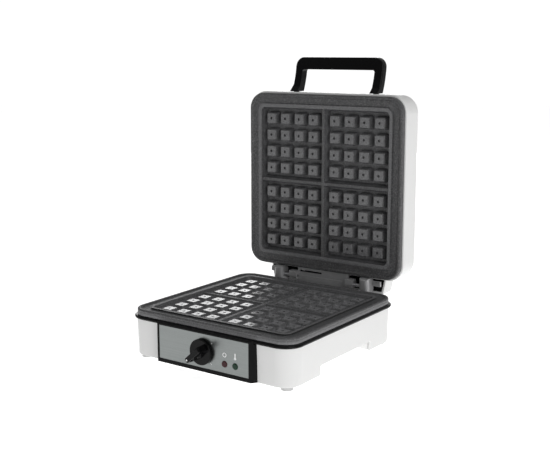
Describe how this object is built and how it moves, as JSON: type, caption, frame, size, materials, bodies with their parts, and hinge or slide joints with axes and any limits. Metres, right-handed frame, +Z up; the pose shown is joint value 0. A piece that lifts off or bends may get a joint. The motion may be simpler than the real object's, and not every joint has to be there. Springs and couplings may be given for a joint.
{
  "type": "waffle maker",
  "caption": "Square table-top waffle iron with an open hinged lid, grid plates, a black loop handle, and a front panel with a temperature knob and two indicator lamps.",
  "frame": {"origin": "middle of the whole object's footprint, at the level of the feet, with the lid open", "axes": "+X to the right, +Y to the back where the hinge is, +Z up"},
  "size_m": [0.257, 0.342, 0.383],
  "materials": {
    "white_shell": "white moulded plastic with a soft gloss",
    "black_gloss": "black moulded plastic, polished",
    "black_plastic": "black moulded plastic, fine texture",
    "nonstick_coating": "cast aluminium with a dark grey speckled non-stick coating",
    "hinge_casting": "cast metal with a dark grey coating",
    "panel_steel": "horizontally brushed stainless steel",
    "bare_steel": "zinc-plated steel",
    "reflector_sheet": "bright rolled aluminium sheet",
    "element_sheath": "dull oxidised steel tube",
    "foot_rubber": "light grey rubber",
    "red_lens": "unlit red lens",
    "green_lens": "unlit green lens",
    "lamp_glass": "clear glass",
    "ceramic": "unglazed white ceramic",
    "marker_white": "white insert"
  },
  "bodies": {
    "base_assembly": {"lower_plate": "nonstick_coating", "lower_heating_element": "element_sheath", "lower_heat_reflector": "reflector_sheet", "base_housing": "white_shell", "bottom_cover": "white_shell", "foot_front_left": "foot_rubber", "foot_front_right": "foot_rubber", "foot_rear_left": "foot_rubber", "foot_rear_right": "foot_rubber", "trim_ring": "black_gloss", "front_bezel": "black_plastic", "control_panel": "panel_steel", "power_lamp_lens": "red_lens", "power_neon_lamp": "lamp_glass", "ready_lamp_lens": "green_lens", "ready_neon_lamp": "lamp_glass", "lamp_holder": "black_plastic", "thermostat_bracket": "bare_steel", "thermostat_body": "ceramic", "bracket_screws": "bare_steel", "plate_standoffs": "bare_steel", "lower_plate_screws": "bare_steel", "cover_screws": "bare_steel", "hinge_tower_left": "hinge_casting", "hinge_tower_right": "hinge_casting", "hinge_pin_left": "bare_steel", "hinge_pin_right": "bare_steel", "tower_foot_screws": "bare_steel", "tower_studs": "hinge_casting", "terminal_block": "ceramic", "cord_gland": "black_plastic", "thermal_fuse": "ceramic"},
    "lid_assembly": {"lid_housing": "white_shell", "upper_plate": "nonstick_coating", "upper_heating_element": "element_sheath", "upper_heat_reflector": "reflector_sheet", "upper_reflector_screws": "bare_steel", "handle": "black_gloss", "lid_hinge_plate": "hinge_casting", "hinge_plate_screws": "bare_steel", "lid_hinge_hood": "white_shell", "hood_screws": "bare_steel", "hood_inner_panel": "black_plastic"},
    "knob_assembly": {"knob": "black_gloss", "knob_marker": "marker_white", "thermostat_shaft": "bare_steel", "knob_spring_clip": "bare_steel"}
  },
  "joints": [
    {"name": "lid_hinge", "type": "hinge", "parent": "base_assembly", "child": "lid_assembly", "pos_m": [0, 0.1195, 0.0684], "axis": [1, 0, 0], "range_deg": [0, 90]},
    {"name": "temperature_knob", "type": "hinge", "parent": "base_assembly", "child": "knob_assembly", "pos_m": [0, -0.15, 0.032], "axis": [0, 1, 0], "range_deg": [0, 270]}
  ]
}
